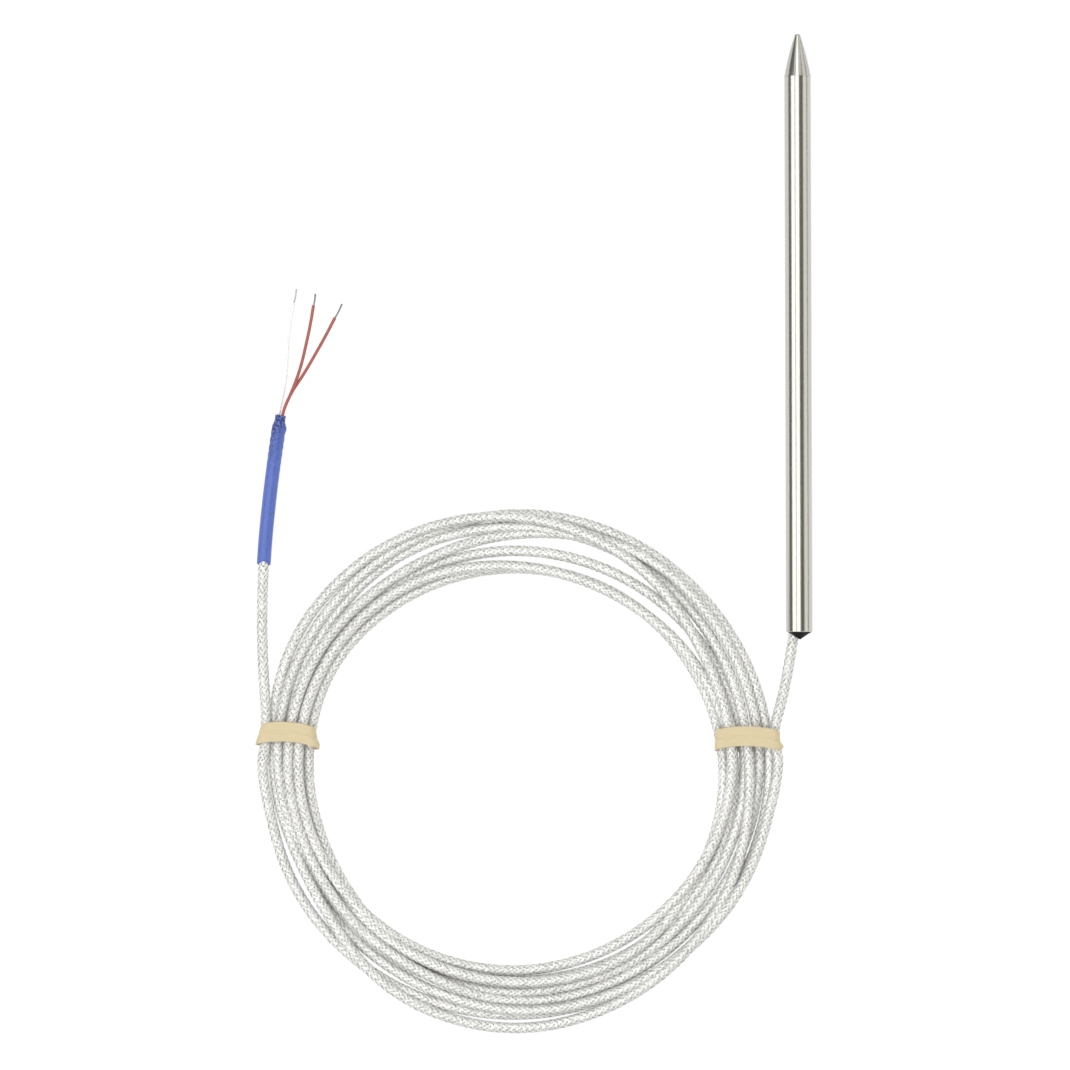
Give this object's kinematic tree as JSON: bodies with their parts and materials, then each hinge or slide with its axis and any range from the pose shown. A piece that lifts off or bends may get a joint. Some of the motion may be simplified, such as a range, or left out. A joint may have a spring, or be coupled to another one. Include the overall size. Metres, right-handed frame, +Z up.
{
  "type": "temperature sensor",
  "caption": "Pointed steel temperature probe on a coiled braided cable tied with rubber bands, with a blue sleeve and bare-ended wires.",
  "frame": {"origin": "on the resting surface, under the middle of the sheath's length", "axes": "+Y along the sheath from its cable end to its point, +Z up from the resting surface, +X to the right, away from the coil"},
  "size_m": [0.168, 0.3007, 0.0082],
  "materials": {
    "sheath_steel": "bright drawn",
    "element_ceramic": "fired, unglazed",
    "lead_metal": "drawn wire",
    "tinned_copper": "tinned",
    "white_insulation": "smooth",
    "red_insulation": "smooth",
    "mineral_powder": "packed powder",
    "seal_resin": "glossy",
    "cable_braid": "bright braid",
    "band_rubber": "matt",
    "blue_sleeve": "satin"
  },
  "bodies": {
    "root": {"sheath_tube": "sheath_steel", "pointed_tip": "sheath_steel", "sensing_element": "element_ceramic", "white_element_lead": "lead_metal", "red_element_lead": "lead_metal", "lead_insulator": "element_ceramic", "white_splice": "tinned_copper", "red_splice": "tinned_copper", "white_core": "white_insulation", "red_core_1": "red_insulation", "red_core_2": "red_insulation", "powder_fill": "mineral_powder", "rear_seal": "seal_resin", "probe_side_cable": "cable_braid", "cable_coil": "cable_braid", "free_end_cable": "cable_braid", "left_band": "band_rubber", "right_band": "band_rubber", "end_sleeve": "blue_sleeve", "white_wire": "white_insulation", "red_wire_1": "red_insulation", "red_wire_2": "red_insulation", "white_wire_end": "tinned_copper", "red_wire_1_end": "tinned_copper", "red_wire_2_end": "tinned_copper"}
  },
  "joints": []
}
